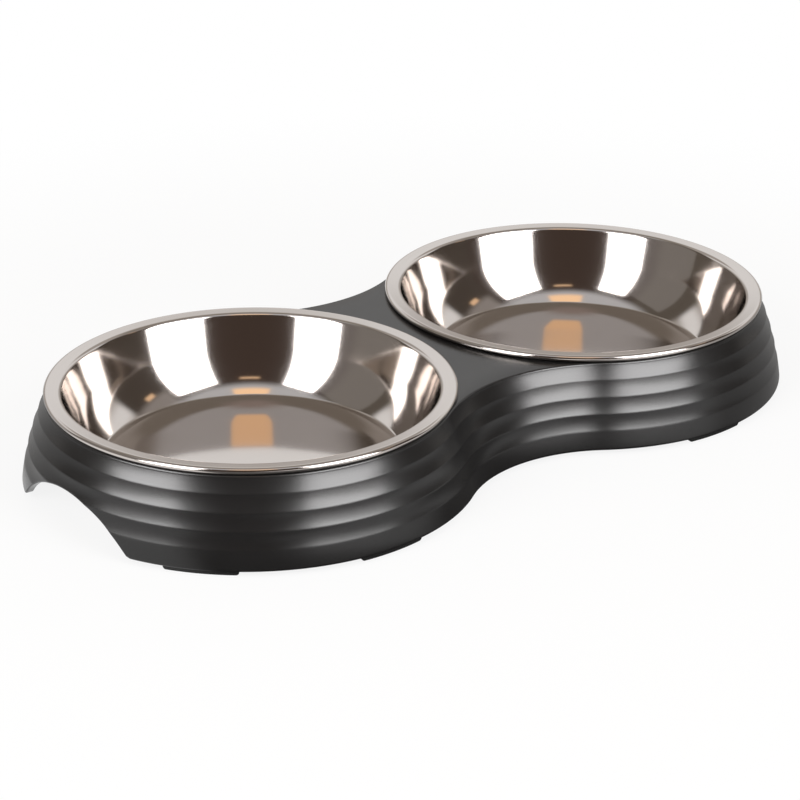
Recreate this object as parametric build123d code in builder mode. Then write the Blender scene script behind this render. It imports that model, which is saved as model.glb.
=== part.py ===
from build123d import *
import os
from math import atan2, cos, degrees, radians, sin, sqrt, tan

# Double pet bowl: a moulded figure-of-eight stand with a rippled, flared wall, two pressed steel bowls
# hung in its deck by their rolled rims, and curved rubber feet under the wall.
# Millimetres. The origin is on the table under the middle of the stand, +X runs along the pair of bowls
# and +Z is up.

# Bowls
rim_radius = 75.0  # outside of the rolled edge
bead_radius = 1.2  # outside of the roll itself
curl_angle = 250.0  # how far the sheet curls round, in degrees
sheet = 0.7
flange_width = 5.0  # from the top of the roll to the shoulder
flange_fall = 5.0  # slope of the flange towards the bowl, in degrees
shoulder_radius = 1.6
bowl_depth = 29.1  # top of the rim to the floor, inside
wall_slope = 72.0  # of a bowl's wall, in degrees
knee_radius = 40.0  # bend from the wall into its base
base_slope = 48.0  # of the wall's base where it meets the floor, in degrees
base_run = 1.1863  # along the base, from the floor's edge to that bend
crease_radius = 1.5  # bend from that base into the floor
seat_gap = 0.2  # between the roll and the deck

# Stand
rim_gap = 9.0  # bare deck between the two rims
rim_overhang = 0.4  # rim outside the deck's edge
wall_flare = 9.4  # how much further out the wall stands at its foot than at the deck
belly = 1.3  # swell of the whole wall over a straight line
waist_radius = 57.0  # hollow arc between the two round ends, at the foot
deck_height = 33.7  # table to the deck
deck_thickness = 3.0
wall = 3.0
hole_clearance = 1.5  # between a bowl's shoulder and its hole
band_count = 4  # hollow ripples up the wall, above its plain foot strip
band_hollow = 0.26
ridge_drop = 5.7  # deck to the uppermost ridge
strip_height = 7.55  # foot line to the lowest ridge
deck_edge_round = 0.8
foot_edge_round = 0.7

# Hand-holds at the two ends
arch_width = 65.0
arch_height = 14.5
arch_corner = 3.0

# Rubber feet
foot_height = 2.0  # what shows under the wall
foot_length = 26.0
foot_width = 5.0
foot_inset = 2.0  # behind the wall's outer edge
foot_corner = 1.2
tongue_width = 2.0
tongue_height = 3.0
tongue_margin = 4.0  # from each end of the foot to its tongue
tongue_clearance = 0.1
land_margin = 2.0  # moulded land round a tongue's slot
foot_side_angle = 90.0  # about a bowl's centre, from the long axis
foot_end_angle = 139.0  # the same, measured from the direction of the other bowl

# Derived places
overrun = 5.0
bowl_spacing = 2 * rim_radius + rim_gap
half_spacing = bowl_spacing / 2
top_radius = rim_radius - rim_overhang
base_radius = top_radius + wall_flare
waist_centre = sqrt((base_radius + waist_radius) ** 2 - half_spacing**2)
waist_angle = degrees(atan2(waist_centre, half_spacing))
shoulder_reach = rim_radius - bead_radius - flange_width
hole_radius = shoulder_reach + hole_clearance
uppermost_ridge = deck_height - ridge_drop
wall_rise = deck_height - foot_height
band_height = (wall_rise - ridge_drop - strip_height) / (band_count - 1)
foot_outer = base_radius - foot_inset
foot_inner = foot_outer - foot_width
foot_middle = (foot_inner + foot_outer) / 2
arch_radius = ((arch_width / 2) ** 2 + arch_height**2) / (2 * arch_height)
arch_centre = Vector(0, foot_height + arch_height - arch_radius)
leg_rise = arch_corner + arch_radius - arch_height
leg_foot = Vector(sqrt((arch_radius + arch_corner) ** 2 - leg_rise**2), foot_height)
leg_centre = leg_foot + (0, arch_corner)

os.makedirs("parts", exist_ok=True)


def radial_plane(centre, angle):
    """Upright plane through a vertical axis, with local x outward at the angle and local y up."""
    outward = Vector(1, 0, 0).rotate(Axis.Z, angle)
    return Plane(origin=centre, x_dir=outward, z_dir=outward.cross(Vector(0, 0, 1)))


def upright_axis(centre):
    """Vertical axis through a point on the table."""
    return Axis(centre, (0, 0, 1))


def lean(height):
    """How far the wall's plain line lies inside its foot line: a straight flare less a parabola's swell."""
    height_share = (height - foot_height) / wall_rise
    return wall_flare * height_share - 4 * belly * height_share * (1 - height_share)


def rippled(height):
    """The same for the rippled outside, with a parabola's hollow in each band between two ridges."""
    band_share = (uppermost_ridge - height) / band_height % 1
    return lean(height) + 4 * band_hollow * band_share * (1 - band_share)


def wall_section(foot_radius, inward, deck_reach):
    """Section of the rippled wall and the deck's edge. The wall's foot line lies at foot_radius, inward is
    the sign of the way from the outside to the inside, and the deck runs deck_reach inwards from the foot
    line."""

    def at(offset, height):
        return (foot_radius + inward * offset, height)

    def corner_arc(offset, height, radius, upward):
        middle = radius * (1 - cos(radians(45)))
        end = (offset + radius, height + upward * radius)
        ThreePointArc(at(offset, height), at(offset + middle, end[1] - upward * middle), at(*end))
        return end

    def outer_arc(upper, lower, line):
        heights = (upper, (upper + lower) / 2, lower)
        ThreePointArc(*(at(line(height), height) for height in heights))

    shoulder_height = deck_height - deck_edge_round
    foot_edge_height = foot_height + foot_edge_round
    inner_top = deck_height - deck_thickness
    ridges = [uppermost_ridge - band_height * count for count in range(band_count)]
    with BuildLine() as outline:
        outer_arc(shoulder_height, ridges[0], rippled)
        for upper, lower in zip(ridges, ridges[1:]):
            outer_arc(upper, lower, rippled)
        outer_arc(ridges[-1], foot_edge_height, lean)
        deck_edge = corner_arc(rippled(shoulder_height), shoulder_height, deck_edge_round, 1)
        foot_edge = corner_arc(lean(foot_edge_height), foot_edge_height, foot_edge_round, -1)
        Line(at(*foot_edge), at(wall, foot_height))
        inner_heights = (foot_height, (foot_height + inner_top) / 2, inner_top)
        ThreePointArc(*(at(lean(height) + wall, height) for height in inner_heights))
        Polyline(
            at(lean(inner_top) + wall, inner_top),
            at(deck_reach, inner_top),
            at(deck_reach, deck_height),
            at(*deck_edge),
        )
    make_face(outline.edges())


def foot_places():
    """Name, bowl centre and angle of each foot about that centre."""
    for side, sign in (("left", -1), ("right", 1)):
        for place, angle in (("side", foot_side_angle), ("end", foot_end_angle)):
            for row, turn in (("front", -1), ("back", 1)):
                towards_end = angle if sign < 0 else 180 - angle
                yield f"foot_{side}_{place}_{row}", (sign * half_spacing, 0, 0), turn * towards_end


def arc_block(centre, angle, length, inner, outer, low, high, mode=Mode.ADD):
    """Curved block about a bowl's centre: its arc is length long at the feet's middle radius."""
    span = degrees(length / foot_middle)
    with BuildSketch(radial_plane(centre, angle - span / 2)) as section:
        with Locations(((inner + outer) / 2, (low + high) / 2)):
            Rectangle(outer - inner, high - low)
    revolve(section.sketch, axis=upright_axis(centre), revolution_arc=span, mode=mode)


# Stand: two round ends and two hollow waist arcs of the same wall section, tangent to each other, and the
# deck between
tongue_length = foot_length - 2 * tongue_margin
tongue_inner = foot_middle - tongue_width / 2
tongue_outer = foot_middle + tongue_width / 2
tongue_top = foot_height + tongue_height
slot_top = tongue_top + tongue_clearance
land_top = slot_top + land_margin
land_length = foot_length + 2 * land_margin

with BuildPart() as stand:
    for sign in (-1, 1):
        start = waist_angle if sign < 0 else waist_angle + 180
        end_centre = (sign * half_spacing, 0, 0)
        with BuildSketch(radial_plane(end_centre, start)):
            wall_section(base_radius, -1, base_radius - hole_radius)
        revolve(axis=upright_axis(end_centre), revolution_arc=360 - 2 * waist_angle)
        hollow_centre = (0, sign * waist_centre, 0)
        with BuildSketch(radial_plane(hollow_centre, start)):
            wall_section(waist_radius, 1, wall_flare + wall + deck_edge_round)
        revolve(axis=upright_axis(hollow_centre), revolution_arc=180 - 2 * waist_angle)
    with BuildSketch(Plane.XY.offset(deck_height)):
        with BuildLine():
            Polyline(
                (-half_spacing, 0), (0, -waist_centre), (half_spacing, 0), (0, waist_centre), close=True
            )
        make_face()
        with Locations((-half_spacing, 0), (half_spacing, 0)):
            Circle(hole_radius, mode=Mode.SUBTRACT)
        with Locations((0, -waist_centre), (0, waist_centre)):
            Circle(waist_radius + wall_flare + wall, mode=Mode.SUBTRACT)
    extrude(amount=-deck_thickness)

    # Lands inside the wall, with a slot for each foot's tongue
    for _, centre, angle in foot_places():
        span = degrees(land_length / foot_middle)
        with BuildSketch(radial_plane(centre, angle - span / 2)):
            with BuildLine():
                Polyline(
                    (foot_inner, foot_height),
                    (base_radius - wall / 2, foot_height),
                    (base_radius - wall / 2 - lean(land_top), land_top),
                    (foot_inner, land_top),
                    close=True,
                )
            make_face()
        revolve(axis=upright_axis(centre), revolution_arc=span)
        arc_block(
            centre,
            angle,
            tongue_length + 2 * tongue_clearance,
            tongue_inner - tongue_clearance,
            tongue_outer + tongue_clearance,
            foot_height - overrun,
            slot_top,
            mode=Mode.SUBTRACT,
        )

    # Hand-hold arches through both end walls, their legs rounded into the wall's lower edge
    with BuildSketch(Plane.YZ):
        with BuildLine() as arch_right:
            top = Vector(0, foot_height + arch_height)
            join_share = arch_radius / (arch_radius + arch_corner)
            leg_join = arch_centre + (leg_centre - arch_centre) * join_share
            RadiusArc(top, leg_join, arch_radius)
            TangentArc(leg_join, leg_foot, tangent=arch_right.line % 1)
            Polyline(leg_foot, leg_foot - (0, overrun), (0, foot_height - overrun))
            mirror(about=Plane.YZ)
        make_face()
    extrude(amount=half_spacing + base_radius + overrun, both=True, mode=Mode.SUBTRACT)
stand.part.label = "stand"
export_step(stand.part, "parts/stand.step")

# Bowls: one line from the middle of the floor up the wall, over the shoulder and round the rolled edge,
# given the sheet's thickness on its lower side and turned about the bowl's centre
bead_height = deck_height + seat_gap + bead_radius
rim_top = bead_height + bead_radius
floor_height = rim_top - bowl_depth
roll_start = (
    rim_radius - bead_radius - bead_radius * sin(radians(flange_fall)),
    bead_height + bead_radius * cos(radians(flange_fall)),
)
shoulder = (shoulder_reach, roll_start[1] - (roll_start[0] - shoulder_reach) * tan(radians(flange_fall)))
knee_setback = knee_radius * tan(radians(wall_slope - base_slope) / 2)
knee_height = (base_run + knee_setback) * sin(radians(base_slope))
wall_drop = shoulder[1] - floor_height - knee_height
knee = (shoulder_reach - wall_drop / tan(radians(wall_slope)), floor_height + knee_height)
floor_edge = (knee[0] - knee_height / tan(radians(base_slope)), floor_height)

for side, sign in (("left", -1), ("right", 1)):
    centre = (sign * half_spacing, 0, 0)
    with BuildPart() as bowl:
        with BuildSketch(radial_plane(centre, 0)):
            with BuildLine() as sheet_line:
                FilletPolyline(
                    (0, floor_height),
                    floor_edge,
                    knee,
                    shoulder,
                    roll_start,
                    radius=[crease_radius, knee_radius, shoulder_radius],
                )
                flange_way = (cos(radians(flange_fall)), sin(radians(flange_fall)))
                JernArc(roll_start, flange_way, bead_radius, -curl_angle)
                offset(amount=sheet, side=Side.RIGHT)
            make_face()
        revolve(axis=upright_axis(centre))
    bowl.part.label = f"bowl_{side}"
    export_step(bowl.part, f"parts/bowl_{side}.step")

# Feet: a curved pad under the wall's edge, with a tongue up into its slot
for name, centre, angle in foot_places():
    with BuildPart() as foot:
        arc_block(centre, angle, foot_length, foot_inner, foot_outer, 0, foot_height)
        pad_ends = foot.edges().group_by(Axis.Z)[0].filter_by(GeomType.LINE)
        fillet(pad_ends, foot_corner)
        arc_block(centre, angle, tongue_length, tongue_inner, tongue_outer, foot_height, tongue_top)
    foot.part.label = name
    export_step(foot.part, f"parts/{name}.step")
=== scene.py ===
"""Looks of the double pet bowl: rippled satin stand, polished bowls and rubber feet on a white table."""

from math import atan2, copysign, cos, pi, radians, sin, sqrt, tan

import bmesh
import bpy
import numpy as np
from bpy.props import FloatProperty, FloatVectorProperty, IntProperty, PointerProperty
from mathutils import Matrix, Vector


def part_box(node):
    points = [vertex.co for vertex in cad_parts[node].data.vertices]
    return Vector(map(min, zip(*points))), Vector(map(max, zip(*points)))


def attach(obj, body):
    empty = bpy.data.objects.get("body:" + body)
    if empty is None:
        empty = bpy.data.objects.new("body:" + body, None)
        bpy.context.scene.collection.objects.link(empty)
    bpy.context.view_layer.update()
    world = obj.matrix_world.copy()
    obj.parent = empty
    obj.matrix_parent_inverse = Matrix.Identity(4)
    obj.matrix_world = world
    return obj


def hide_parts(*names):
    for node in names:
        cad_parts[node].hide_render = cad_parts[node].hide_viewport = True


bl_info = {
    "name": "Double pet bowl",
    "version": (1, 0, 0),
    "blender": (4, 5, 0),
    "location": "3D View > Sidebar > Pet bowl",
    "description": "Builds the looks of a double pet bowl around its CAD model",
    "category": "Object",
}

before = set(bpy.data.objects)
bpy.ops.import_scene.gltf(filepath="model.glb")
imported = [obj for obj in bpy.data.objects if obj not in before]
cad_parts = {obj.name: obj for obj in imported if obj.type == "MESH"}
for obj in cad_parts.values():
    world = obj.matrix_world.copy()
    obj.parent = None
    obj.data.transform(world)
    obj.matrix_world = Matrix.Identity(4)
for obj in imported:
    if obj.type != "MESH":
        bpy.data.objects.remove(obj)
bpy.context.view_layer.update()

stand_low, stand_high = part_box("stand")
bowl_low, bowl_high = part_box("bowl_right")
rim_radius_cad = (bowl_high.y - bowl_low.y) / 2
half_spacing_cad = (bowl_low.x + bowl_high.x) / 2
merge_distance = 1e-7
sharp_angle = radians(40)


def length(name, description, default):
    """Property for a length in metres."""
    return FloatProperty(
        name=name,
        description=description,
        default=default,
        min=0,
        precision=5,
        subtype="DISTANCE",
        unit="LENGTH",
    )


def angle(name, description, degrees):
    """Property for an angle, given in degrees."""
    return FloatProperty(
        name=name, description=description, default=radians(degrees), subtype="ANGLE", unit="ROTATION"
    )


def colour(name, description, default):
    """Property for a linear colour."""
    return FloatVectorProperty(
        name=name, description=description, default=default, min=0, max=1, size=3, subtype="COLOR"
    )


def share(name, description, default):
    """Property for a share between 0 and 1."""
    return FloatProperty(name=name, description=description, default=default, min=0, max=1, subtype="FACTOR")


def amount(name, description, default):
    """Property for a number that isn't negative, such as a radiance."""
    return FloatProperty(name=name, description=description, default=default, min=0)


def spot(name, description, default):
    """Property for a place in metres."""
    return FloatVectorProperty(name=name, description=description, default=default, subtype="XYZ")


class BowlSizes(bpy.types.PropertyGroup):
    """Sizes of a pressed steel bowl."""

    half_spacing: length("Half spacing", "From the middle of the stand to a bowl's centre", half_spacing_cad)
    rim_radius: length("Rim radius", "Outside of the rolled edge", rim_radius_cad)
    rim_top: length("Rim top", "Table to the top of the rolled edge", bowl_high.z)
    bead_radius: length("Bead radius", "Outside of the roll itself", 0.0012)
    curl_angle: angle("Curl angle", "How far the sheet curls round", 250)
    sheet: length("Sheet", "Thickness of the steel", 0.0007)
    flange_width: length("Flange width", "From the top of the roll to the shoulder", 0.005)
    flange_fall: angle("Flange fall", "Slope of the flange towards the bowl", 5)
    shoulder_radius: length("Shoulder radius", "Bend from the flange into the wall", 0.0016)
    base_height: length("Base height", "Table to the underside of a bowl", bowl_low.z)
    wall_slope: angle("Wall slope", "Slope of the wall", 72)
    knee_height: length("Knee height", "Floor to where the wall and its base would meet unbent", 0.0072)
    knee_radius: length("Knee radius", "Bend from the wall into its base", 0.04)
    base_slope: angle("Base slope", "Slope of the wall's base where it meets the floor", 48)
    crease_radius: length("Crease radius", "Bend from the wall's base into the floor", 0.0015)
    columns: IntProperty(name="Columns", description="Faces round a bowl", default=256, min=32)


class StandSizes(bpy.types.PropertyGroup):
    """Sizes of the moulded stand."""

    deck_height: length("Deck height", "Table to the deck", stand_high.z)
    foot_height: length("Foot height", "Table to the wall's lower edge", stand_low.z)
    rim_overhang: length("Rim overhang", "Rim outside the deck's edge", 0.0004)
    wall_flare: length("Wall flare", "How far the wall's foot stands outside the deck's edge", 0.0094)
    belly: length("Belly", "Swell of the whole wall over a straight line", 0.0013)
    waist_radius: length("Waist radius", "Hollow arc between the two round ends, at the foot", 0.057)
    deck_thickness: length("Deck thickness", "Thickness of the deck", 0.003)
    wall: length("Wall", "Thickness of the wall", 0.003)
    hole_clearance: length("Hole clearance", "Between a bowl's shoulder and its hole", 0.0015)
    band_count: IntProperty(name="Bands", description="Ridges up the wall, over its foot strip", default=4)
    band_hollow: length("Band hollow", "How deep a ripple is hollowed", 0.00026)
    ridge_drop: length("Ridge drop", "Deck to the uppermost ridge", 0.0057)
    strip_height: length("Strip height", "Wall's lower edge to the lowest ridge", 0.00755)
    deck_edge_round: length("Deck edge round", "Round of the deck's outer edge", 0.0008)
    foot_edge_round: length("Foot edge round", "Round of the wall's lower edge", 0.0007)
    hole_edge_round: length("Hole edge round", "Round of a hole's upper edge", 0.0006)
    arch_width: length("Arch width", "Width of a hand-hold at the wall's lower edge", 0.065)
    arch_height: length("Arch height", "Height of a hand-hold above the wall's lower edge", 0.0145)
    arch_corner: length("Arch corner", "Round between a hand-hold and the wall's lower edge", 0.003)
    land_height: length("Land height", "Height of the moulded land over each foot", 0.0051)
    land_span: angle("Land span", "Arc of the moulded land over each foot", 21.6)
    land_reach: length("Land reach", "From the wall's foot line to the inner side of a land", 0.007)
    foot_side_angle: angle("Side feet", "Side feet about a bowl, from the other bowl's direction", 90)
    foot_end_angle: angle("End feet", "End feet about a bowl, from the other bowl's direction", 139)
    column_step: length("Column step", "Distance between columns of faces along the wall", 0.0014)


class Finishes(bpy.types.PropertyGroup):
    """Colours and gloss of the three materials."""

    moulding: colour("Moulding", "Satin charcoal of the stand", (0.0082, 0.0078, 0.0077))
    moulding_pale: colour("Moulding, paler", "Paler mottle of the stand", (0.0124, 0.0118, 0.0117))
    moulding_gloss: share("Moulding roughness", "Roughness of the stand", 0.25)
    steel: colour("Steel", "Polished stainless steel", (0.6, 0.555, 0.525))
    steel_gloss: share("Steel roughness", "Roughness of the bowls", 0.09)
    rubber: colour("Rubber", "Black rubber of the feet", (0.02, 0.02, 0.02))


class StudioSettings(bpy.types.PropertyGroup):
    """Camera and lights."""

    camera_place: spot("Camera place", "Where the camera stands", (-0.5799, -0.6877, 0.3983))
    camera_aim: spot("Camera aim", "What the camera looks at", (-0.012, -0.003, 0.012))
    camera_roll: angle("Camera roll", "Turn about the line of sight", 0.544)
    camera_lens: FloatProperty(name="Lens", description="Focal length in millimetres", default=114.6, min=1)
    softbox_radiance: amount("Softbox", "Radiance of the two softboxes", 14.0)
    skirt_radiance: amount("Skirt", "Radiance below the left softbox", 2.35)
    right_skirt_gain: amount("Right skirt", "How many times brighter the right skirt is", 1.7)
    bowl_radiance: amount("Bowl lamps", "Radiance that the steel mirrors", 6.0)
    wall_radiance: amount("Left wall", "Radiance of the room's left wall in the steel", 0.13)
    fill_radiance: amount("Fill", "Radiance that falls on matt colours", 5.0)
    softbox_distance: length("Softbox distance", "From the object to a softbox", 1.1)


class Value:
    """A shader node's output. Arithmetic on it adds a Math node for each operator."""

    def __init__(self, shader, output):
        self.shader = shader
        self.output = output

    def math(self, operation, first, second=0.0):
        node = self.shader.node("ShaderNodeMath", {"operation": operation}, {0: first, 1: second})
        return Value(self.shader, node.outputs[0])

    def __add__(self, other):
        return self.math("ADD", self, other)

    def __sub__(self, other):
        return self.math("SUBTRACT", self, other)

    def __mul__(self, other):
        return self.math("MULTIPLY", self, other)

    def __radd__(self, other):
        return self.math("ADD", other, self)

    def __rsub__(self, other):
        return self.math("SUBTRACT", other, self)

    def __rmul__(self, other):
        return self.math("MULTIPLY", other, self)

    def __abs__(self):
        return self.math("ABSOLUTE", self)

    def at_most(self, other):
        return self.math("MINIMUM", self, other)


class Shader:
    """A node tree that is filled by expressions."""

    def __init__(self, owner):
        owner.use_nodes = True
        self.tree = owner.node_tree
        self.tree.nodes.clear()

    def node(self, kind, settings=None, values=None):
        """Adds a node of that type: its settings first, then the numbers or links of its sockets."""
        node = self.tree.nodes.new(kind)
        for name, setting in (settings or {}).items():
            setattr(node, name, setting)
        for name, value in (values or {}).items():
            if isinstance(value, Value):
                self.tree.links.new(value.output, node.inputs[name])
            else:
                node.inputs[name].default_value = value
        return node

    def value(self, kind, settings=None, values=None, output=0):
        """Adds a node and gives one of its outputs."""
        return Value(self, self.node(kind, settings, values).outputs[output])

    def place(self):
        """Object coordinates in metres."""
        return self.value("ShaderNodeTexCoord", output="Object")

    def noise(self, place, scale, detail=2.0, dimensions="3D"):
        """Fractal noise from 0 to 1 at a place, with that many cells a metre."""
        values = {"Scale": scale, "Detail": detail}
        values["W" if dimensions == "1D" else "Vector"] = place
        return self.value("ShaderNodeTexNoise", {"noise_dimensions": dimensions}, values)

    def step(self, value, low, high):
        """Smooth step from 0 at low to 1 at high."""
        return self.value(
            "ShaderNodeMapRange",
            {"interpolation_type": "SMOOTHSTEP"},
            {"Value": value, "From Min": low, "From Max": high, "To Min": 0.0, "To Max": 1.0},
        )

    def rise(self, value, low, high):
        """Smooth step between two angles in degrees."""
        return self.step(value, radians(low), radians(high))

    def window(self, value, low, high, edge):
        """1 between two angles in degrees and 0 outside them, with soft edges of that width."""
        inside = self.rise(value, low - edge / 2, low + edge / 2)
        return inside - self.rise(value, high - edge / 2, high + edge / 2)

    def bearing(self, way, facing):
        """Bearing of a direction, to the right of the camera's side, and its height, both in radians."""
        parts = self.node("ShaderNodeSeparateXYZ", {}, {0: way}).outputs
        x, y, z = (Value(self, part) for part in parts)
        forward = x * cos(facing) + y * sin(facing)
        across = y * cos(facing) - x * sin(facing)
        return across.math("ARCTAN2", across, forward), z.math("ARCSINE", z)

    def rays(self):
        """1 for what the camera sees, 1 for what gloss or glass shows, and the count of mirrorings."""
        path = self.node("ShaderNodeLightPath").outputs
        camera, glossy, through, mirrorings = (
            Value(self, path[name])
            for name in ("Is Camera Ray", "Is Glossy Ray", "Is Transmission Ray", "Glossy Depth")
        )
        return camera, glossy + through, mirrorings

    def blend(self, factor, first, second):
        """Colour between two others."""
        node = self.node("ShaderNodeMix", {"data_type": "RGBA"}, {0: factor, 6: first, 7: second})
        return Value(self, node.outputs[2])

    def bump(self, height, distance, strength=1.0):
        """Normal of a surface raised by a height from 0 to 1 over that distance in metres."""
        return self.value(
            "ShaderNodeBump", {}, {"Strength": strength, "Distance": distance, "Height": height}
        )

    def finish(self, shade, output="ShaderNodeOutputMaterial"):
        """Puts a shader into the tree's output."""
        self.node(output, {}, {"Surface": shade})


def rgba(tint, gain=1.0):
    """Colour socket's value from three numbers."""
    return (*(gain * part for part in tint), 1.0)


def satin_moulding(finish):
    """Satin charcoal: a slow mottle in colour and gloss, and a fine grain in the surface."""
    mottle_scale, mottle_detail = 55.0, 3.0
    grain_scale, grain_depth = 2600.0, 0.00001
    gloss_spread = 0.06
    moulding_ior = 1.46
    material = bpy.data.materials.new("satin_moulding")
    shader = Shader(material)
    place = shader.place()
    mottle = shader.noise(place, mottle_scale, mottle_detail)
    grain = shader.noise(place, grain_scale)
    surface = shader.value(
        "ShaderNodeBsdfPrincipled",
        {},
        {
            "Base Color": shader.blend(mottle, rgba(finish.moulding), rgba(finish.moulding_pale)),
            "Roughness": finish.moulding_gloss - gloss_spread / 2 + gloss_spread * mottle,
            "IOR": moulding_ior,
            "Normal": shader.bump(grain, grain_depth),
        },
    )
    shader.finish(surface)
    return material


def polished_steel(finish):
    """Polished steel: faint rings from polishing, which follow the pressed line, and a slow unevenness."""
    ring_scale, ring_detail = 1800.0, 3.0
    slow_scale, slow_detail = 38.0, 1.0
    slow_depth, slow_strength = 0.00012, 0.5
    tint_spread, gloss_spread = 0.04, 0.05
    material = bpy.data.materials.new("polished_steel")
    shader = Shader(material)
    way = shader.value("ShaderNodeAttribute", {"attribute_name": "run"}, {}, "Fac")
    rings = shader.noise(way, ring_scale, ring_detail, "1D")
    slow = shader.noise(shader.place(), slow_scale, slow_detail)
    dull, bright = (rgba(finish.steel, 1 + side * tint_spread / 2) for side in (-1, 1))
    surface = shader.value(
        "ShaderNodeBsdfPrincipled",
        {},
        {
            "Base Color": shader.blend(rings, dull, bright),
            "Metallic": 1.0,
            "Roughness": finish.steel_gloss - gloss_spread / 2 + gloss_spread * rings,
            "Normal": shader.bump(slow, slow_depth, slow_strength),
        },
    )
    shader.finish(surface)
    return material


def foot_rubber(finish):
    """Matte black rubber with a fine tooth and dusty patches."""
    dust_scale, dust_detail, dust_gain = 180.0, 4.0, 1.8
    tooth_scale, tooth_depth = 3200.0, 0.00003
    clean_gloss, dust_gloss = 0.65, 0.2
    material = bpy.data.materials.new("foot_rubber")
    shader = Shader(material)
    place = shader.place()
    dust = shader.noise(place, dust_scale, dust_detail)
    tooth = shader.noise(place, tooth_scale)
    surface = shader.value(
        "ShaderNodeBsdfPrincipled",
        {},
        {
            "Base Color": shader.blend(dust, rgba(finish.rubber), rgba(finish.rubber, dust_gain)),
            "Roughness": clean_gloss + dust_gloss * dust,
            "Normal": shader.bump(tooth, tooth_depth),
        },
    )
    shader.finish(surface)
    return material


def table_white(facing):
    """White table. The camera sees it plain white far from the object, and near it a share of it is matt,
    which takes the shadow. Gloss sees it white too, but for painted shade, dark for all rays but the
    camera's:
    bearings of the table on the camera's side and at the two ends of the object, and a painted shadow
    beneath it."""
    shadow_share = 0.14
    shadow_reach = (0.17, 0.42)
    # reach of the painted shadow under the object, which only reflections and bounced light see
    painted_shadow_reach = (0.09, 0.14)
    matt_tint, painted_shade_tint = rgba((0.9, 0.9, 0.9)), rgba((0.13, 0.13, 0.13))
    # share of painted shade, then the bearings from and to and the width of the soft edges, in degrees
    painted_shade_bearings = ((1.0, -30, 3, 8), (1.0, 32, 45, 6), (0.8, 80, 140, 12), (0.75, -140, -71, 12))
    material = bpy.data.materials.new("table_white")
    shader = Shader(material)
    place = shader.place()
    reach = shader.value("ShaderNodeVectorMath", {"operation": "LENGTH"}, {0: place}, "Value")
    away = shader.step(reach, *shadow_reach)
    camera, mirrored = shader.rays()[:2]
    bearing = shader.bearing(place, facing)[0]
    # painted shadow: the table is dark close to the object for every ray but the camera's
    painted_shade = 1.0 - shader.step(reach, *painted_shadow_reach)
    # painted shade: the table is made dark at these bearings for reflections and bounced light
    for painted_shade_share, *span in painted_shade_bearings:
        painted_shade = painted_shade + painted_shade_share * shader.window(bearing, *span)
    painted_shade = painted_shade.at_most(1.0)
    # painted shade: every ray but the camera's sees the matt table darker there
    tint = shader.blend(painted_shade * (1.0 - camera), matt_tint, painted_shade_tint)
    matt = shader.value("ShaderNodeBsdfDiffuse", {}, {"Color": tint})
    white = shader.value("ShaderNodeEmission", {}, {"Color": rgba((1, 1, 1)), "Strength": 1.0})
    # the painted shade also holds back the white that gloss sees
    factor = camera * (1.0 - shadow_share + shadow_share * away) + mirrored * (1.0 - painted_shade)
    shader.finish(shader.value("ShaderNodeMixShader", {}, {0: factor, 1: matt, 2: white}))
    return material


def arc_points(centre, radius, turn):
    """Points on a circle at the turns in radians: centre + radius (cos turn, sin turn)."""
    return np.column_stack((centre[0] + radius * np.cos(turn), centre[1] + radius * np.sin(turn)))


def arc(centre, radius, start, end, count):
    """Points on a circle, evenly from a start to an end turn."""
    return arc_points(centre, radius, np.linspace(start, end, count))


def run(start, end, count):
    """Points evenly along the straight line between two points, without its ends."""
    part = np.linspace(0, 1, count + 2)[1:-1, None]
    return np.asarray(start) * (1 - part) + np.asarray(end) * part


def grid(points, closed_columns=True, closed_rows=True, skip=None):
    """Points and faces of a grid of points (columns, rows, 3), with a face between each pair of neighbouring
    columns and rows. Closed columns or rows run round into a ring. Faces of the mask skip are left out."""
    columns, rows = points.shape[:2]
    here = np.arange(columns * rows).reshape(columns, rows)
    there = np.roll(here, -1, axis=0)
    faces = np.stack((here, there, np.roll(there, -1, axis=1), np.roll(here, -1, axis=1)), axis=-1)
    keep = np.ones((columns, rows), bool) if skip is None else ~skip
    if not closed_columns:
        keep[-1] = False
    if not closed_rows:
        keep[:, -1] = False
    return points.reshape(-1, 3), faces[keep]


def mesh_piece(name, *grids, way=None):
    """Mesh piece of one or more grids. Points that coincide are merged, the faces are turned outwards, and
    edges that turn sharply stay sharp. way is a number for each point, kept as the attribute run."""
    starts = np.cumsum([0] + [len(points) for points, faces in grids])
    corners = np.concatenate([points for points, faces in grids])
    faces = np.concatenate([faces + start for start, (points, faces) in zip(starts, grids)])
    mesh = bpy.data.meshes.new(name)
    mesh.from_pydata(corners.tolist(), [], faces.tolist())
    if way is not None:
        attribute = mesh.attributes.new("run", "FLOAT", "POINT")
        attribute.data.foreach_set("value", way.astype(np.float32))
    work = bmesh.new()
    work.from_mesh(mesh)
    bmesh.ops.remove_doubles(work, verts=work.verts, dist=merge_distance)
    bmesh.ops.recalc_face_normals(work, faces=work.faces)
    work.to_mesh(mesh)
    work.free()
    mesh.shade_smooth()
    mesh.set_sharp_from_angle(angle=sharp_angle)
    piece = bpy.data.objects.new(name, mesh)
    bpy.context.scene.collection.objects.link(piece)
    return piece


def bend(corner, way_in, way_out, radius, inset, count):
    """Arc that rounds a corner of a line between two directions. It touches both sides at the radius times
    the tangent of half the turn from the corner. The line that lies inset to the right has the same centre:
    its radius is larger by the inset where the line turns left, and smaller where it turns right."""
    side = copysign(1, way_out - way_in)
    setback = radius * tan(abs(way_out - way_in) / 2)
    centre = (
        corner[0] - setback * cos(way_in) - side * radius * sin(way_in),
        corner[1] - setback * sin(way_in) + side * radius * cos(way_in),
    )
    return arc(centre, radius + side * inset, way_in - side * pi / 2, way_out - side * pi / 2, count)


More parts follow.
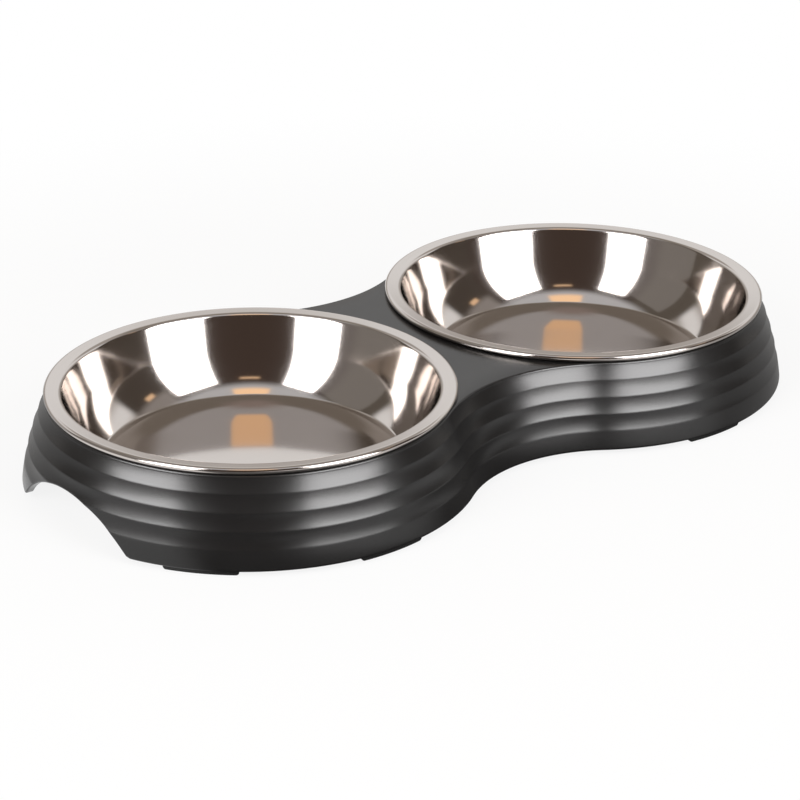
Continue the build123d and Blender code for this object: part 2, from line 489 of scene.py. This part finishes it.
def bowl_line(bowl, inset):
    """One side of the steel sheet, from the middle of the floor to the end of the curl, as points (radius,
    height): straight lines with a bend at each corner, and the roll's arc. The upper side has inset 0, and
    the lower side lies inset below it."""
    floor_rows, base_rows, wall_rows, flange_rows = 24, 4, 20, 8
    crease_points, knee_points, shoulder_points, roll_points = 12, 48, 14, 40
    bead_centre = (bowl.rim_radius - bowl.bead_radius, bowl.rim_top - bowl.bead_radius)
    fall = bowl.flange_fall
    roll_start = (
        bead_centre[0] - bowl.bead_radius * sin(fall),
        bead_centre[1] + bowl.bead_radius * cos(fall),
    )
    reach = bead_centre[0] - bowl.flange_width
    shoulder = (reach, roll_start[1] - (roll_start[0] - reach) * tan(fall))
    floor = bowl.base_height + bowl.sheet
    knee_height = floor + bowl.knee_height
    knee = (reach - (shoulder[1] - knee_height) / tan(bowl.wall_slope), knee_height)
    floor_edge = (knee[0] - bowl.knee_height / tan(bowl.base_slope), floor)
    roll_turn = fall + pi / 2
    stretches = (
        (np.array([[0, floor - inset]]), floor_rows),
        (bend(floor_edge, 0, bowl.base_slope, bowl.crease_radius, inset, crease_points), base_rows),
        (bend(knee, bowl.base_slope, bowl.wall_slope, bowl.knee_radius, inset, knee_points), wall_rows),
        (bend(shoulder, bowl.wall_slope, fall, bowl.shoulder_radius, inset, shoulder_points), flange_rows),
        (arc(bead_centre, bowl.bead_radius - inset, roll_turn, roll_turn - bowl.curl_angle, roll_points), 0),
    )
    line = []
    for (points, count), (following, _) in zip(stretches, stretches[1:] + stretches[-1:]):
        line.append(points)
        line.append(run(points[-1], following[0], count))
    return np.concatenate(line)


def lathe(name, profile, centre, columns):
    """Profile of points (radius, height) turned about the upright axis at centre: (x, y) = centre + radius
    (cos a, sin a). The attribute run is the way along the profile."""
    turn = np.linspace(0, 2 * pi, columns, endpoint=False)
    radius, height = profile.T
    points = np.stack(
        (
            centre[0] + np.outer(np.cos(turn), radius),
            centre[1] + np.outer(np.sin(turn), radius),
            np.tile(height, (columns, 1)),
        ),
        axis=-1,
    )
    way = np.concatenate(([0], np.cumsum(np.linalg.norm(np.diff(profile, axis=0), axis=1))))
    return mesh_piece(name, grid(points), way=np.tile(way, columns))


class MakeBowls(bpy.types.Operator):
    """Turn the pressed line of the sheet into the two bowls"""

    bl_idname = "petbowl.make_bowls"
    bl_label = "Make the bowls"

    def execute(self, context):
        bowl = context.scene.pet_bowl_bowls
        steel = polished_steel(context.scene.pet_bowl_finishes)
        profile = np.concatenate((bowl_line(bowl, 0), bowl_line(bowl, bowl.sheet)[::-1]))
        for side, sign in (("left", -1), ("right", 1)):
            piece = lathe(f"steel_bowl_{side}", profile, (sign * bowl.half_spacing, 0), bowl.columns)
            piece.data.materials.append(steel)
            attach(piece, f"bowl_{side}")
            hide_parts(f"bowl_{side}")
        return {"FINISHED"}


class WallShape:
    """Section and plan of the stand's wall, in metres, and the rows of points once round the stand."""

    band_rows = 16
    round_rows = 6
    deck_rows = 5
    under_rows = 5
    inside_rows = 9
    land_columns = 14
    middle_share = 0.16

    def __init__(self, stand, bowl):
        self.stand = stand
        self.top_radius = bowl.rim_radius - stand.rim_overhang
        self.base_radius = self.top_radius + stand.wall_flare
        self.half = bowl.half_spacing
        self.waist_centre = sqrt((self.base_radius + stand.waist_radius) ** 2 - self.half**2)
        self.waist_angle = atan2(self.waist_centre, self.half)
        self.hole_radius = bowl.rim_radius - bowl.bead_radius - bowl.flange_width + stand.hole_clearance
        self.shoulder = stand.deck_height - stand.deck_edge_round
        self.rise = stand.deck_height - stand.foot_height
        self.uppermost_ridge = stand.deck_height - stand.ridge_drop
        self.band_height = (self.rise - stand.ridge_drop - stand.strip_height) / (stand.band_count - 1)
        self.round_turns = np.linspace(0, pi / 2, self.round_rows)
        self.foot, self.inward, self.edge, self.middle = self.plan()
        self.low = self.ground(self.outside(self.ground(0) + stand.foot_edge_round))

    def lean(self, height):
        """How far the wall's plain line lies inside its foot: a straight slope less a parabola's swell."""
        part = (height - self.stand.foot_height) / self.rise
        return self.stand.wall_flare * part - 4 * self.stand.belly * part * (1 - part)

    def outside(self, height):
        """The rippled outside: the plain line, with a parabola's hollow in each band between two ridges."""
        place = (self.uppermost_ridge - height) / self.band_height
        part = np.where(place < self.stand.band_count - 1, place % 1, 0)
        return self.lean(height) + 4 * self.stand.band_hollow * part * (1 - part)

    def inside(self, height):
        """The wall's plain inside."""
        return self.stand.wall + self.lean(height)

    def ladder(self):
        """Heights of the rows up the outside: even steps in each band, with a row on each ridge."""
        stand = self.stand
        ridges = self.uppermost_ridge - self.band_height * np.arange(stand.band_count)[::-1]
        marks = np.concatenate(([stand.foot_height + stand.foot_edge_round], ridges, [self.shoulder]))
        shares = np.arange(self.band_rows) / self.band_rows
        steps = marks[:-1, None] + np.diff(marks)[:, None] * shares
        return np.append(steps.ravel(), self.shoulder)

    def lower_edge(self, x, y):
        """Height of the wall's lower edge: the foot plane, raised at the two ends by the hand-hold, which is
        an arc of a circle, rounded into the foot plane by a smaller arc at each leg."""
        stand = self.stand
        radius = ((stand.arch_width / 2) ** 2 + stand.arch_height**2) / (2 * stand.arch_height)
        drop = radius - stand.arch_height
        leg = sqrt((radius + stand.arch_corner) ** 2 - (stand.arch_corner + drop) ** 2)
        join = leg * radius / (radius + stand.arch_corner)
        side = np.abs(y)
        arch = np.sqrt(np.maximum(radius**2 - side**2, 0)) - drop
        corner = stand.arch_corner - np.sqrt(np.maximum(stand.arch_corner**2 - (side - leg) ** 2, 0))
        raised = np.where(side < join, arch, np.where(side < leg, corner, 0))
        return stand.foot_height + np.where(np.abs(x) > self.half, np.maximum(raised, 0), 0)

    def land(self, sign, middle):
        """Moulded land over a foot: a four-sided section, with its outer side inside the wall, carried along
        an arc about a bowl's centre. A column drawn together in the section's middle closes each end."""
        stand = self.stand
        low, high = stand.foot_height, stand.foot_height + stand.land_height
        inner, outer = self.base_radius - stand.land_reach, self.base_radius - stand.wall / 2
        section = np.array([[inner, low], [outer, low], [outer - self.lean(high), high], [inner, high]])
        turn = middle + stand.land_span * np.linspace(-0.5, 0.5, self.land_columns)
        radius, height = np.tile(section, (len(turn), 1, 1)).transpose(2, 0, 1).copy()
        for level in (radius, height):
            level[[0, -1]] = level[0].mean()
        turn[[0, -1]] = turn[[1, -2]]
        turn = turn[:, None]
        return np.stack((sign * self.half + radius * np.cos(turn), radius * np.sin(turn), height), axis=-1)

    def plan(self):
        """Foot line of the wall once round, as points, inward directions, points of the deck's inner edge,
        and a mask of the columns whose deck runs to the middle line. The line is two round ends about the
        bowls and two hollow arcs that touch them. The inner edge is the two holes, joined along the middle
        line."""
        foot, inward, edge, middle = [], [], [], []
        wide = pi - self.waist_angle
        arc_share = (1 - self.middle_share) / 2
        line_end_share = arc_share + self.middle_share
        for sign in (1, -1):
            ends = (-wide, wide) if sign > 0 else (self.waist_angle, 2 * pi - self.waist_angle)
            count = int((ends[1] - ends[0]) * self.base_radius / self.stand.column_step)
            turn = np.linspace(*ends, count)[:, None]
            out = np.hstack((np.cos(turn), np.sin(turn)))
            centre = np.array([sign * self.half, 0])
            foot.append(centre + self.base_radius * out)
            inward.append(-out)
            edge.append(centre + self.hole_radius * out)
            middle.append(np.zeros(count, bool))

            count = int((pi - 2 * self.waist_angle) * self.stand.waist_radius / self.stand.column_step)
            part = np.linspace(0, 1, count + 2)[1:-1]
            start = -self.waist_angle if sign > 0 else wide
            turn = (start - (pi - 2 * self.waist_angle) * part)[:, None]
            out = np.hstack((np.cos(turn), np.sin(turn)))
            foot.append(np.array([0, sign * self.waist_centre]) + self.stand.waist_radius * out)
            inward.append(out)
            near = np.clip(part / arc_share, 0, 1)
            far = np.clip((part - line_end_share) / arc_share, 0, 1)
            along = np.clip((part - arc_share) / self.middle_share, 0, 1)
            first = wide + self.waist_angle * near
            last = self.waist_angle * far
            inner = self.half - self.hole_radius
            on_first = arc_points((self.half, 0), self.hole_radius, first)
            on_last = arc_points((-self.half, 0), self.hole_radius, last)
            on_line = np.column_stack((inner - 2 * inner * along, np.zeros(count)))
            line = np.where((part < arc_share)[:, None], on_first, on_line)
            line = np.where((part > line_end_share)[:, None], on_last, line)
            edge.append(sign * line)
            middle.append((part >= arc_share) & (part <= line_end_share))
        return tuple(np.concatenate(parts) for parts in (foot, inward, edge, middle))

    def inset(self, offset):
        """The foot line moved inwards by the offset."""
        return self.foot + self.inward * np.broadcast_to(offset, len(self.foot))[:, None]

    def ground(self, offset):
        """Height of the wall's lower edge at an offset."""
        return self.lower_edge(*self.inset(offset).T)

    def row(self, line, height):
        """Row of points over a line, at one height or at a height for each point."""
        return np.column_stack((line, np.broadcast_to(height, len(line))))

    def outer_rows(self):
        """Rows up the outside: round of the lower edge, rippled wall and round of the deck's edge."""
        stand = self.stand
        start = self.low + stand.foot_edge_round
        skin = self.outside(start)
        rows = []
        for turn in self.round_turns:
            offset = skin + stand.foot_edge_round * (1 - sin(turn))
            height = self.ground(offset) + stand.foot_edge_round * (1 - cos(turn))
            rows.append(self.row(self.inset(offset), height))
        for height in self.ladder():
            level = np.maximum(height, start)
            rows.append(self.row(self.inset(self.outside(level)), level))
        top = self.outside(self.shoulder)
        for turn in self.round_turns[1:]:
            offset = top + stand.deck_edge_round * (1 - cos(turn))
            rows.append(self.row(self.inset(offset), self.shoulder + stand.deck_edge_round * sin(turn)))
        return rows

    def upper_rows(self):
        """Rows over the deck, straight from its outer edge to its inner one, and round the upper edge of the
        holes. Along the middle line there is no round."""
        stand = self.stand
        start = self.inset(self.outside(self.shoulder) + stand.deck_edge_round)
        way = self.edge - start
        reach = np.linalg.norm(way, axis=1, keepdims=True)
        edge_round = np.where(self.middle[:, None], 0, stand.hole_edge_round)
        rows = []
        for part in np.linspace(0, 1, self.deck_rows + 1)[1:]:
            rows.append(self.row(start + way * (1 - edge_round / reach) * part, stand.deck_height))
        for turn in self.round_turns[1:]:
            line = self.edge - way / reach * edge_round * (1 - sin(turn))
            rows.append(self.row(line, stand.deck_height - edge_round[:, 0] * (1 - cos(turn))))
        return rows

    def inner_rows(self):
        """Rows under the deck, straight from its inner edge to the wall, and down the wall's inside."""
        stand = self.stand
        under = stand.deck_height - stand.deck_thickness
        wall_top = self.inset(self.inside(under))
        rows = []
        for part in np.linspace(0, 1, self.under_rows):
            rows.append(self.row(self.edge * (1 - part) + wall_top * part, under))
        low = self.ground(self.inside(self.low))
        for height in np.linspace(under, stand.foot_height, self.inside_rows + 1)[1:]:
            level = np.maximum(height, low)
            rows.append(self.row(self.inset(self.inside(level)), level))
        return rows


class MakeStand(bpy.types.Operator):
    """Carry the rippled section round the figure of eight, with the deck, the holes and the hand-holds"""

    bl_idname = "petbowl.make_stand"
    bl_label = "Make the stand"

    def execute(self, context):
        stand = context.scene.pet_bowl_stand
        shape = WallShape(stand, context.scene.pet_bowl_bowls)
        skin = shape.outer_rows() + shape.upper_rows()
        points = np.stack(skin + shape.inner_rows(), axis=1)
        skip = np.zeros(points.shape[:2], bool)
        skip[:, len(skin) - 1] = shape.middle & np.roll(shape.middle, -1)
        lands = [
            grid(shape.land(sign, turn * (place if sign < 0 else pi - place)), closed_columns=False)
            for sign in (-1, 1)
            for turn in (-1, 1)
            for place in (stand.foot_side_angle, stand.foot_end_angle)
        ]
        piece = mesh_piece("rippled_stand", grid(points, skip=skip), *lands)
        piece.data.materials.append(satin_moulding(context.scene.pet_bowl_finishes))
        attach(piece, "stand")
        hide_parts("stand")
        return {"FINISHED"}


class DressFeet(bpy.types.Operator):
    """Give the rubber feet their finish"""

    bl_idname = "petbowl.dress_feet"
    bl_label = "Dress the feet"

    def execute(self, context):
        rubber = foot_rubber(context.scene.pet_bowl_finishes)
        feet = [node for name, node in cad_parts.items() if name.startswith("foot_")]
        if not feet:
            raise RuntimeError("the frame has no feet")
        for node in feet:
            node.data.materials.clear()
            node.data.materials.append(rubber)
        return {"FINISHED"}


class SetStage(bpy.types.Operator):
    """Set the table, the room's light, the softboxes and the camera"""

    bl_idname = "petbowl.set_stage"
    bl_label = "Set the stage"

    def execute(self, context):
        studio = context.scene.pet_bowl_studio
        place, aim = Vector(studio.camera_place), Vector(studio.camera_aim)
        back = (place - aim).normalized()
        facing = atan2(back.y, back.x)
        self.set_camera(context, studio, place, back)
        self.set_table(facing)
        self.set_room(context, facing)
        stand = self.receivers("lit_stand", "rippled_stand")
        bowls = self.receivers("lit_bowls", "steel_bowl_left", "steel_bowl_right")
        right_skirt_radiance = studio.right_skirt_gain * studio.skirt_radiance
        # name, lit pieces, distance share, bearings from and to, heights from and to in degrees, radiance
        softboxes = (
            ("fill_left", None, 1.0, -62, -23, 10, 48, studio.fill_radiance),
            ("fill_right", None, 1.0, 30, 71, 10, 48, studio.fill_radiance),
            ("stand_left", stand, 1.04, -70, -34, 13, 48, studio.softbox_radiance),
            ("stand_right", stand, 1.04, 26, 68, 13, 48, studio.softbox_radiance),
            ("stand_left_skirt", stand, 1.04, -70, -34, 3, 13, studio.skirt_radiance),
            ("stand_right_skirt", stand, 1.04, 26, 68, 3, 13, right_skirt_radiance),
            ("bowl_left", bowls, 1.08, -55, -27, 4, 50, studio.bowl_radiance),
            ("bowl_right", bowls, 1.08, 30, 68.5, 4, 50, studio.bowl_radiance),
            ("bowl_left_wall", bowls, 1.12, -98, -54, 3, 47, studio.wall_radiance),
        )
        for name, lit, distance_share, *spread in softboxes:
            distance = distance_share * studio.softbox_distance
            lamp = self.set_softbox(context, facing, name, distance, *spread)
            if lit:
                lamp.visible_diffuse = False
                lamp.light_linking.receiver_collection = lit
            else:
                lamp.visible_glossy = False
        context.scene.view_settings.view_transform = "Standard"
        return {"FINISHED"}

    def receivers(self, name, *pieces):
        """Collection of the pieces that a lamp is for."""
        collection = bpy.data.collections.new(name)
        for piece in pieces:
            collection.objects.link(bpy.data.objects[piece])
        return collection

    def set_camera(self, context, studio, place, back):
        """Camera at the place, looking along -back, turned about the line of sight by the roll."""
        level = Vector((0, 0, 1)).cross(back).normalized()
        upright = back.cross(level)
        across = level * cos(studio.camera_roll) + upright * sin(studio.camera_roll)
        data = bpy.data.cameras.new("camera")
        data.lens = studio.camera_lens
        camera = bpy.data.objects.new("camera", data)
        context.scene.collection.objects.link(camera)
        turn = Matrix((across, back.cross(across), back)).transposed().to_4x4()
        camera.matrix_world = Matrix.Translation(place) @ turn
        context.scene.camera = camera

    def set_table(self, facing):
        """Round table top: rings of points about the origin, at height zero."""
        columns, ring_count, radius = 96, 9, 4
        turn = np.linspace(0, 2 * pi, columns, endpoint=False)
        rings = np.linspace(0, radius, ring_count)
        flat = np.zeros((columns, ring_count))
        points = np.stack((np.outer(np.cos(turn), rings), np.outer(np.sin(turn), rings), flat), axis=-1)
        table = mesh_piece("table", grid(points, closed_rows=False))
        table.data.materials.append(table_white(facing))

    def set_room(self, context, facing):
        """Light of the room, by direction. The camera sees white. The steel and the satin mirror a white
        backdrop behind the object, a dark room towards the camera, brownish sides, a grey ceiling and three
        small warm lamps. What is mirrored twice is brighter in two opposite quarters about one direction."""
        white = rgba((1, 1, 1))
        front, left_wall = rgba((0.074, 0.052, 0.042)), rgba((0.14, 0.12, 0.1))
        right_wall_low, right_wall_high = rgba((0.09, 0.074, 0.061)), rgba((0.36, 0.33, 0.31))
        backdrop_edge = rgba((0.5, 0.47, 0.44))
        ceiling_middle, ceiling_sides = rgba((0.66, 0.67, 0.69)), rgba((0.32, 0.29, 0.255))
        ceiling_top = rgba((0.47, 0.4, 0.37))
        lamp_tint = rgba((1.5, 1.0, 0.6))
        second_dim, second_bright = rgba((0.12, 0.1, 0.083)), rgba((0.46, 0.4, 0.34))
        # soft edges between these parts, from and to, in degrees of bearing and then of height
        left_edge, right_edge = (-70, -58), (68, 78)
        sides_edge, behind_edge = (84, 104), (106, 114)
        backdrop_start, backdrop_end = (13, 25), (26, 36)
        wall_edge, ceiling_edge, top_edge = (32, 40), (47, 55), (76, 88)
        # brightness share, then bearings from and to with their soft edge, and heights in the same way
        warm_lamps = (
            (1.0, (-15, 23, 4), (56, 71, 4)),
            (0.75, (-3, 13, 3), (43.4, 45.4, 1.5)),
            (0.75, (84, 92, 3), (31.5, 35.5, 2)),
        )
        second_span = (-40, 40, 20)
        cross_bearing, cross_height, cross_edge = radians(3.5), radians(29.7), 0.003

        world = bpy.data.worlds.new("studio_room")
        context.scene.world = world
        shader = Shader(world)
        way = shader.value("ShaderNodeTexCoord", output="Generated")
        bearing, height = shader.bearing(way, facing)
        camera, mirrored, mirrorings = shader.rays()
        right_wall = shader.blend(shader.rise(height, *wall_edge), right_wall_low, right_wall_high)
        room = shader.blend(shader.rise(bearing, *right_edge), front, right_wall)
        room = shader.blend(1.0 - shader.rise(bearing, *left_edge), room, left_wall)
        behind = shader.rise(abs(bearing), *behind_edge)
        clear = shader.rise(height, *backdrop_start) - shader.rise(height, *backdrop_end)
        room = shader.blend(behind, room, shader.blend(clear, backdrop_edge, white))
        overhead = shader.blend(shader.rise(abs(bearing), *sides_edge), ceiling_middle, ceiling_sides)
        overhead = shader.blend(shader.rise(height, *top_edge), overhead, ceiling_top)
        ceiling = shader.rise(height, *ceiling_edge)
        room = shader.blend(ceiling, room, overhead)
        lamp = 0.0
        for lamp_share, bearings, heights in warm_lamps:
            lamp = lamp + lamp_share * shader.window(bearing, *bearings) * shader.window(height, *heights)
        room = shader.blend(lamp, room, lamp_tint)
        twice = shader.step(mirrorings, 1.0, 2.0) * shader.window(bearing, *second_span) * (1.0 - ceiling)
        cross = (bearing - cross_bearing) * (height - cross_height)
        second = shader.blend(shader.step(cross, -cross_edge, cross_edge), second_dim, second_bright)
        room = shader.blend(twice, room, second)
        tint = shader.blend(camera + mirrored * behind * clear, room, white)
        light = shader.value("ShaderNodeBackground", {}, {"Color": tint, "Strength": 1.0})
        shader.finish(light, "ShaderNodeOutputWorld")

    def set_softbox(self, context, facing, name, distance, first, last, low, high, radiance):
        """Upright softbox that covers the bearings first to last from the camera's side, and the heights low
        to high, in degrees. A lamp's power is its radiance times pi and its area."""
        data = bpy.data.lights.new(name, "AREA")
        data.shape = "RECTANGLE"
        data.size = 2 * distance * tan(radians(last - first) / 2)
        base, top = distance * tan(radians(low)), distance * tan(radians(high))
        data.size_y = top - base
        data.energy = radiance * pi * data.size * data.size_y
        bearing = facing + radians(first + last) / 2
        out = Vector((cos(bearing), sin(bearing), 0))
        lamp = bpy.data.objects.new(name, data)
        context.scene.collection.objects.link(lamp)
        lamp.location = out * distance + Vector((0, 0, (base + top) / 2))
        lamp.rotation_mode = "QUATERNION"
        lamp.rotation_quaternion = (-out).to_track_quat("-Z", "Y")
        lamp.visible_camera = False
        return lamp


class PetBowlPanel(bpy.types.Panel):
    """Panel of the pet bowl's operators"""

    bl_idname = "VIEW3D_PT_pet_bowl"
    bl_label = "Pet bowl"
    bl_space_type = "VIEW_3D"
    bl_region_type = "UI"
    bl_category = "Pet bowl"

    def draw(self, context):
        for operator in operators:
            self.layout.operator(operator.bl_idname)


groups = {
    "pet_bowl_bowls": BowlSizes,
    "pet_bowl_stand": StandSizes,
    "pet_bowl_finishes": Finishes,
    "pet_bowl_studio": StudioSettings,
}
operators = (MakeStand, MakeBowls, DressFeet, SetStage)


def register():
    for group in groups.values():
        bpy.utils.register_class(group)
    for name, group in groups.items():
        setattr(bpy.types.Scene, name, PointerProperty(type=group))
    for operator in (*operators, PetBowlPanel):
        bpy.utils.register_class(operator)


def unregister():
    for operator in (PetBowlPanel, *reversed(operators)):
        bpy.utils.unregister_class(operator)
    for name in groups:
        delattr(bpy.types.Scene, name)
    for group in reversed(groups.values()):
        bpy.utils.unregister_class(group)


def main():
    register()
    bpy.ops.petbowl.make_stand()
    bpy.ops.petbowl.make_bowls()
    bpy.ops.petbowl.dress_feet()
    bpy.ops.petbowl.set_stage()


if __name__ == "__main__":
    main()
